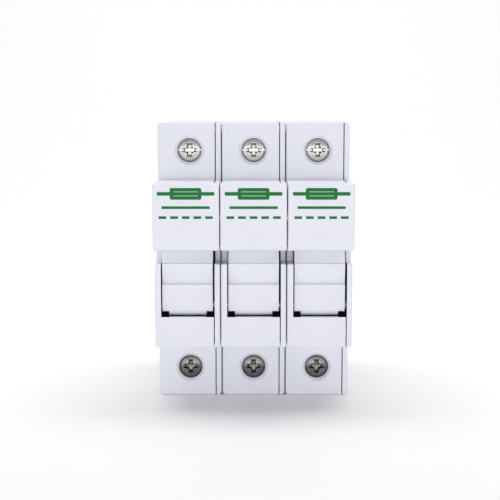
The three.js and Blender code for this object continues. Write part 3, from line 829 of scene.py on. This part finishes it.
def screw_thread():
    """A helical thread: the radius follows the distance along the axis less the turn."""
    start, end, sides, rows_per_turn = HEAD_BACK + 0.2, SHANK_END, 36, 10
    root = SHANK_RADIUS - THREAD_DEPTH
    count = round((end - start) / THREAD_PITCH * rows_per_turn)
    bm = bmesh.new()
    rings = []
    for row in range(count + 1):
        along = start + (end - start) * row / count
        fade = min(1, (end - along) / THREAD_PITCH, (along - start) / THREAD_PITCH)
        ring = []
        for side in range(sides):
            turn = side / sides
            phase = ((along - start) / THREAD_PITCH - turn) % 1
            ridge = max(0, min(1, 1.6 - abs(phase - 0.5) * 4.2))
            radius = root + THREAD_DEPTH * ridge * fade
            angle = 2 * math.pi * turn
            ring.append(bm.verts.new((radius * math.cos(angle), along, radius * math.sin(angle))))
        rings.append(ring)
    for first, second in zip(rings, rings[1:]):
        for i in range(sides):
            j = (i + 1) % sides
            bm.faces.new((first[i], first[j], second[j], second[i]))
    bm.faces.new(rings[0])
    bm.faces.new(list(reversed(rings[-1])))
    return as_object(bm, "thread")


def terminal_screw():
    head = soften(carve(screw_head(), screw_recess()), recess_edge, 2)
    return finish_shading(weld(head, [screw_thread()]), 40)


def recess_edge(edge):
    """Breaks the edges where the recess meets the dome, and nothing else."""
    middle = middle_of(edge)
    across = math.hypot(middle.x, middle.z)
    dome_deep = HEAD_FRONT - 0.05 < middle.y < HEAD_FRONT + SCREW_CROWN * 0.8
    return RECESS_EDGE if dome_deep and across < HEAD_RADIUS else 0


def recess_painted_shade(point, normal):
    """The steep faces of the slot and the cross, painted near black as shade."""
    across = math.hypot(point.x, point.z)
    return abs(normal.y) < 0.45 and across < HEAD_RADIUS - 0.2 and point.y < HEAD_BACK - 0.5


for end, finish in (("upper", SCREW_NICKEL), ("lower", SHADED_NICKEL)):
    # The walls of each slot and cross take the near-black moulding: painted shade.
    copies(terminal_screw(), f"clamp_screw_{end}_{{}}", f"{end}_screw_{{}}",
           [f"{end}_screw_{{}}"], finish, recess_painted_shade, SCREW_Z[end])


# ---- Cage clamps ----

CAGE_HALF, CAGE_FRONT, CAGE_BACK, CAGE_HALF_HIGH = 6.7, -29.3, -16.2, 4.1
CAGE_WALL, CAGE_FRONT_WALL, CAGE_REAR_WALL = 1.5, 2.4, 1.4
CAGE_EDGE = 0.25
BITES, BITE_PITCH, BITE_HALF, BITE_DEPTH = 3, 1.9, 0.45, 0.3


def cage_clamp():
    """A brass frame with a hole for the screw in front and grooves that bite the wire."""
    outline = rounded([(-CAGE_HALF, CAGE_FRONT, 0.8), (CAGE_HALF, CAGE_FRONT, 0.8),
                       (CAGE_HALF, CAGE_BACK, 0.8), (-CAGE_HALF, CAGE_BACK, 0.8)])
    inside = CAGE_HALF - CAGE_WALL
    near, far = CAGE_FRONT + CAGE_FRONT_WALL, CAGE_BACK - CAGE_REAR_WALL
    window = rounded([(-inside, near, 0.5), (inside, near, 0.5), (inside, far, 0.5),
                      (-inside, far, 0.5)])
    past = CAGE_HALF_HIGH + PAST
    cage = carve(prism(outline, "Z", -CAGE_HALF_HIGH, CAGE_HALF_HIGH), [
        prism(window, "Z", -past, past),
        rod(SHANK_RADIUS + 0.1, "Y", CAGE_FRONT - PAST, near + PAST, (0, 0, 0), 48),
    ])

    def radius(edge):
        return CAGE_EDGE if at(abs(middle_of(edge).z), CAGE_HALF_HIGH) else 0

    cage = soften(cage, radius, 3)
    bites = []
    for i in range(BITES):
        z = (i - (BITES - 1) / 2) * BITE_PITCH
        section = [(far - 0.1, z - BITE_HALF), (far + BITE_DEPTH, z), (far - 0.1, z + BITE_HALF)]
        bites.append(prism(section, "X", -inside + 0.6, inside - 0.6))
    return finish_shading(carve(cage, bites))


for end in ("upper", "lower"):
    copies(cage_clamp(), f"wire_cage_{end}_{{}}", f"{end}_cage_{{}}",
           [f"{end}_cage_{{}}"], BRASS, height=SCREW_Z[end])


# ---- Contacts and the springs round their jaws ----

LIP_BEND, LIP_TIP, LIP_SPREAD = -46.5, -49.7, 0.75
CLAMP_IN, CLAMP_OUT, CLAMP_BACK, CLAMP_FRONT, CLAMP_HALF = 6.25, 6.65, -35.75, -45.5, 1.5


def both_sides(half):
    """A plan outline made of a right half and its mirror image."""
    return half + [(-x, y, *rest) for x, y, *rest in reversed(half)]


def contact(end):
    """Bar, leg and plate in one bent strip, with the jaw that grips the fuse cap."""
    sign = 1 if end == "upper" else -1
    middle = FUSE_MIDDLE + sign * JAW_OFFSET
    bar_end = SCREW_Z[end] + sign * (CAGE_HALF_HIGH + 0.4)
    strip = prism(rounded([
        (BAR_FRONT, bar_end, 0.3), (BAR_FRONT, sign * LEG_FAR, 0.4),
        (JAW_BACK - JAW_PLATE, sign * LEG_FAR, 1.1),
        (JAW_BACK - JAW_PLATE, middle - sign * JAW_HALF, 0.2),
        (JAW_BACK, middle - sign * JAW_HALF, 0.2), (JAW_BACK, sign * LEG_NEAR, 0.4),
        (BAR_BACK, sign * LEG_NEAR, 1.3), (BAR_BACK, bar_end, 0.3),
    ]), "X", -BAR_HALF, BAR_HALF)
    plan = both_sides([
        (JAW_OUT, JAW_BACK, 1.0), (JAW_OUT, LIP_BEND, 1.5), (JAW_OUT + LIP_SPREAD, LIP_TIP, 0.2),
        (JAW_IN + LIP_SPREAD, LIP_TIP, 0.2), (JAW_IN, LIP_BEND, 1.5),
        (JAW_IN, JAW_BACK - JAW_PLATE, 0.5),
    ])
    jaw = prism(rounded(plan), "Z", middle - JAW_HALF, middle + JAW_HALF)

    def radius(edge):
        place = middle_of(edge)
        on_side = at(abs(place.x), BAR_HALF, 0.05)
        on_end = at(abs(place.z - middle), JAW_HALF, 0.02)
        return 0.12 if on_side or on_end else 0

    return finish_shading(weld(soften(strip, radius, 2), [soften(jaw, radius, 2)]))


def jaw_spring(end):
    """A steel U that presses the two sides of the jaw together."""
    sign = 1 if end == "upper" else -1
    middle = FUSE_MIDDLE + sign * JAW_OFFSET
    thick = CLAMP_OUT - CLAMP_IN
    plan = both_sides([
        (CLAMP_OUT, CLAMP_BACK, 0.9), (CLAMP_OUT, CLAMP_FRONT, 0.15),
        (CLAMP_IN, CLAMP_FRONT, 0.15), (CLAMP_IN, CLAMP_BACK - thick, 0.5),
    ])
    return finish_shading(soften(
        prism(rounded(plan), "Z", middle - CLAMP_HALF, middle + CLAMP_HALF),
        every_edge(0.08), 2))


for end in ("upper", "lower"):
    copies(contact(end), f"jaw_contact_{end}_{{}}", "base",
           [f"{end}_contact_{{}}"], TINNED)
    copies(jaw_spring(end), f"contact_spring_{end}_{{}}", "base",
           [f"{end}_jaw_spring_{{}}"], STEEL)


# ---- Fuse ----

CAP_WALL_END, CAP_SHOULDER, CAP_RIM = 0.5, 0.7, 0.08
CAP_GROOVES, CAP_GROOVE_DEPTH, CAP_GROOVE_WIDE = (1.2, 2.4), 0.12, 0.6
TUBE_SHORT, TUBE_CHAMFER = 0.55, 0.2  # how far the tube ends inside the cap, and its edges
STRIP_SHORT, STRIP_HALF, STRIP_THIN = 0.6, 1.0, 0.08
NECK_ROWS, NECK_PITCH, NECK_HOLE = (-2, -1, 0, 1, 2), 5, 0.38


def fuse_cap(sign):
    """A drawn cap with a round shoulder, a shallow dimple and two rolled grooves."""
    end, rim = FUSE_HALF, FUSE_HALF - CAP_LENGTH
    bore = TUBE_OUTER + 0.05
    profile = [(0, end - CAP_WALL_END), (bore, end - CAP_WALL_END), (bore, rim),
               (CAP_RADIUS - CAP_RIM, rim), (CAP_RADIUS, rim + CAP_RIM)]
    for groove in CAP_GROOVES:
        profile += [(CAP_RADIUS - CAP_GROOVE_DEPTH * math.sin(math.pi * i / 6),
                     rim + groove + CAP_GROOVE_WIDE * i / 6) for i in range(7)]
    profile += arc((CAP_RADIUS - CAP_SHOULDER, end - CAP_SHOULDER), CAP_SHOULDER, 0, 90, 8)
    dimple = [(2.2, end), (1.8, end - 0.08), (1.2, end - 0.22), (0, end - 0.25)]
    profile += dimple
    cap = turned([(radius, sign * along) for radius, along in profile], "Z",
                 (0, FUSE_Y, FUSE_MIDDLE), 64)
    return finish_shading(cap, 50)


def fuse_tube():
    reach, chamfer = FUSE_HALF - TUBE_SHORT, TUBE_CHAMFER
    profile = [(TUBE_INNER, chamfer - reach), (TUBE_INNER + chamfer, -reach),
               (TUBE_OUTER - chamfer, -reach), (TUBE_OUTER, chamfer - reach),
               (TUBE_OUTER, reach - chamfer), (TUBE_OUTER - chamfer, reach),
               (TUBE_INNER + chamfer, reach), (TUBE_INNER, reach - chamfer)]
    return finish_shading(turned(profile, "Z", (0, FUSE_Y, FUSE_MIDDLE), 64), 50)


def fuse_element():
    """A strip with rows of holes: the narrow necks between them are what melts."""
    reach = FUSE_HALF - STRIP_SHORT
    strip = slab((-STRIP_HALF, STRIP_HALF), (FUSE_Y - STRIP_THIN, FUSE_Y + STRIP_THIN),
                 (FUSE_MIDDLE - reach, FUSE_MIDDLE + reach))
    beside = STRIP_HALF - 0.02
    holes = [rod(NECK_HOLE, "Y", FUSE_Y - PAST, FUSE_Y + PAST,
                 (x, 0, FUSE_MIDDLE + NECK_PITCH * row), 20)
             for row in NECK_ROWS for x in (-beside, 0, beside)]
    return finish_shading(carve(strip, holes))


copies(fuse_cap(1), "cartridge_cap_top_{}", "carrier_{}", ["fuse_cap_top_{}"], NICKEL)
copies(fuse_cap(-1), "cartridge_cap_bottom_{}", "carrier_{}", ["fuse_cap_bottom_{}"],
       NICKEL)
copies(fuse_tube(), "cartridge_tube_{}", "carrier_{}", ["fuse_tube_{}"], CERAMIC)
copies(fuse_element(), "cartridge_element_{}", "carrier_{}",
       ["fuse_element_{}"], TINNED)


# ---- Rail clip and its spring ----

CLIP_FRONT, CLIP_PLATE_BACK, CLIP_RIDGE_HALF, CLIP_RIDGE_TOP = 1.5, 3.6, 4.5, -19.5
LUG_HALF, LUG_FRONT, LUG_TOP, LUG_BOTTOM = 1.8, -3.0, -22.8, -24.4
CLIP_NOSE, PULL_HALF, PULL_LOW, PULL_HIGH = 0.3, 2.6, 1.4, 3  # the pull is for a screwdriver
COIL_RADIUS, COIL_WIRE, COIL_TURNS, COIL_Y = 1.3, 0.25, 6, -1.2


def rail_clip():
    tip, bottom = CLIP_HIGH.z, CLIP_LOW.z
    plate = prism(rounded([
        (CLIP_FRONT, bottom, 0.4), (CLIP_PLATE_BACK, bottom, 0.4),
        (CLIP_PLATE_BACK, tip - 1.6, 0.5), (CLIP_PLATE_BACK - 1, tip, 0.3),
        (CLIP_FRONT - CLIP_NOSE, tip, 0.25), (CLIP_FRONT - CLIP_NOSE, tip - 2),
        (CLIP_FRONT, tip - 2 - CLIP_NOSE),
    ], 4), "X", CLIP_LOW.x, CLIP_HIGH.x)
    ridge = prism(rounded([
        (-CLIP_RIDGE_HALF, CLIP_PLATE_BACK - 0.3), (CLIP_RIDGE_HALF, CLIP_PLATE_BACK - 0.3),
        (CLIP_RIDGE_HALF, CLIP_HIGH.y, 0.4), (-CLIP_RIDGE_HALF, CLIP_HIGH.y, 0.4),
    ], 4), "Z", bottom, CLIP_RIDGE_TOP)
    lug = slab((-LUG_HALF, LUG_HALF), (LUG_FRONT, CLIP_FRONT + 0.3), (LUG_BOTTOM, LUG_TOP))
    low, high = bottom + PULL_LOW, bottom + PULL_HIGH
    pull = prism(rounded([(-PULL_HALF, low, 0.5), (PULL_HALF, low, 0.5),
                          (PULL_HALF, high, 0.5), (-PULL_HALF, high, 0.5)]),
                 "Y", CLIP_FRONT - PAST, CLIP_HIGH.y + PAST)

    def radius(edge):
        return 0.3 if at(abs(middle_of(edge).x), CLIP_HIGH.x, 0.05) else 0

    clip = weld(soften(plate, radius, 3), [ridge, soften(lug, every_edge(0.2), 2)])
    return finish_shading(carve(clip, [pull]))


def coil_spring():
    """Wire on a plain helix, with its ends cut square."""
    low, high = POCKET_BOTTOM + COIL_WIRE + 0.05, LUG_BOTTOM - COIL_WIRE - 0.05
    per_turn, around = 28, 12
    steps = COIL_TURNS * per_turn
    bm = bmesh.new()
    rings = []
    for i in range(steps + 1):
        angle = 2 * math.pi * i / per_turn
        centre = Vector((COIL_RADIUS * math.cos(angle), COIL_Y + COIL_RADIUS * math.sin(angle),
                         low + (high - low) * i / steps))
        outward = Vector((math.cos(angle), math.sin(angle), 0))
        rings.append([bm.verts.new(centre + COIL_WIRE * (
            outward * math.cos(a) + Vector((0, 0, 1)) * math.sin(a)))
            for a in (2 * math.pi * k / around for k in range(around))])
    for first, second in zip(rings, rings[1:]):
        for k in range(around):
            m = (k + 1) % around
            bm.faces.new((first[k], first[m], second[m], second[k]))
    bm.faces.new(rings[0])
    bm.faces.new(list(reversed(rings[-1])))
    return finish_shading(as_object(bm, "coil"), 50)


copies(rail_clip(), "din_clip_{}", "rail_clip_{}", ["rail_clip_{}"], MOULDING)
copies(coil_spring(), "return_spring_{}", "base", ["clip_spring_{}"], STEEL)
for n in POLES:
    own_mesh(bpy.data.objects[f"return_spring_{n}"])


# ---- Pins, rivets and the bar that gangs the handles ----

RIVET_SHANK, RIVET_DOME, RIVET_SUNK, RIVET_ROLL = 1.1, 0.3, 0.76, 0.35

def plain_pin(node, name, body, chamfer):
    """A turned steel pin along X with chamfered ends."""
    low, high = box_mm(node)
    radius = (high.y - low.y) / 2
    half = (high.x - low.x) / 2
    profile = [(0, -half), (radius - chamfer, -half), (radius, -half + chamfer),
               (radius, half - chamfer), (radius - chamfer, half), (0, half)]
    pin = turned(profile, "X", (low + high) / 2, 48)
    return publish(finish_shading(pin), name, body, [node], STEEL)


def rivet(node):
    """A long semi-tubular rivet: a low dome on the left, a rolled end on the right."""
    low, high = box_mm(node)
    centre = (low + high) / 2
    half, radius = (high.x - low.x) / 2, (high.y - low.y) / 2
    seat = half - RIVET_SUNK
    dome = [(radius * math.sin(a), -half + RIVET_DOME * (1 - math.cos(a)))
            for a in (math.pi / 2 * i / 8 for i in range(9))]
    shank = [(radius, -seat), (RIVET_SHANK, -seat), (RIVET_SHANK, seat), (radius, seat)]
    rolled = arc((radius - RIVET_ROLL, half - RIVET_ROLL), RIVET_ROLL, 0, 150, 8)
    hollow = [(0.75, half - 0.5), (0.6, half - 0.75), (0, half - 0.8)]
    profile = [*dome, *shank, *rolled, *hollow]
    made = turned(profile, "X", centre, 48)
    return publish(finish_shading(made, 50), f"through_{node}", "base", [node], STEEL)


for n in POLES:
    plain_pin(f"pivot_pin_{n}", f"hinge_pin_{n}", "base", 0.2)
plain_pin("handle_tie_bar", "ganging_bar", f"carrier_{MIDDLE}", 0.25)
for node in RIVETS:
    rivet(node)


# ---- Camera, floor and light, in metres ----

LENS, SHIFT_ACROSS = 86.7, -0.0072
CAMERA_PLACE, LOOKS_DOWN = (0, -0.3814, 0.0428), 6.77
SWEEP_HALF, SWEEP_FRONT, SWEEP_TURN, SWEEP_RADIUS, SWEEP_TOP = 1.6, -1.2, 0.5, 0.4, 1.6
AMBIENT = 0.41
LIGHTS = {  # place, what it points at, size and watts
    "front": ((0.0, -1.1, 0.06), (0, 0, 0), (1.6, 0.2), 4.4),
    "top": ((0.0, 0.10, 0.9), (0, 0, 0), (1.2, 0.35), 5.4),
    "backdrop": ((0.0, 0.5, 1.0), (0, 0.9, 0.25), (1.8, 0.3), 2.4),
}


def camera():
    data = bpy.data.cameras.new("camera")
    data.lens = LENS
    data.sensor_width = 36
    data.shift_x = SHIFT_ACROSS
    data.clip_start = 0.01
    view = bpy.data.objects.new("camera", data)
    view.location = CAMERA_PLACE
    view.rotation_euler = (math.radians(90 - LOOKS_DOWN), 0, 0)
    bpy.context.scene.collection.objects.link(view)
    bpy.context.scene.camera = view


def floor():
    """A pale sweep: flat under the object, then curving up far behind it."""
    bm = bmesh.new()
    rows = [(SWEEP_FRONT, 0),
            *arc((SWEEP_TURN, SWEEP_RADIUS), SWEEP_RADIUS, -90, 0, 12),
            (SWEEP_TURN + SWEEP_RADIUS, SWEEP_TOP)]
    left = [bm.verts.new((-SWEEP_HALF, y, z + cad_box[0][2])) for y, z in rows]
    right = [bm.verts.new((SWEEP_HALF, y, z + cad_box[0][2])) for y, z in rows]
    for i in range(len(rows) - 1):
        bm.faces.new((left[i], right[i], right[i + 1], left[i + 1]))
    sweep = as_object(bm, "floor")
    sweep.data.shade_smooth()
    material, _, _, shader = new_material("pale_floor")
    shader.inputs["Base Color"].default_value = (0.97, 0.97, 0.97, 1)
    shader.inputs["Roughness"].default_value = 0.6
    sweep.data.materials.append(material)


def area_light(name, place, aim, size, power):
    data = bpy.data.lights.new(name, "AREA")
    data.shape = "RECTANGLE"
    data.size, data.size_y = size
    data.energy = power
    light = bpy.data.objects.new(name, data)
    light.location = place
    direction = Vector(aim) - Vector(place)
    light.rotation_euler = direction.to_track_quat("-Z", "Y").to_euler()
    bpy.context.scene.collection.objects.link(light)


def studio():
    world = bpy.data.worlds.new("studio")
    world.use_nodes = True
    background = world.node_tree.nodes["Background"]
    background.inputs["Color"].default_value = (1, 1, 1, 1)
    background.inputs["Strength"].default_value = AMBIENT
    bpy.context.scene.world = world
    for name, (place, aim, size, power) in LIGHTS.items():
        area_light(name, place, aim, size, power)
    bpy.context.scene.view_settings.view_transform = "Standard"


camera()
floor()
studio()
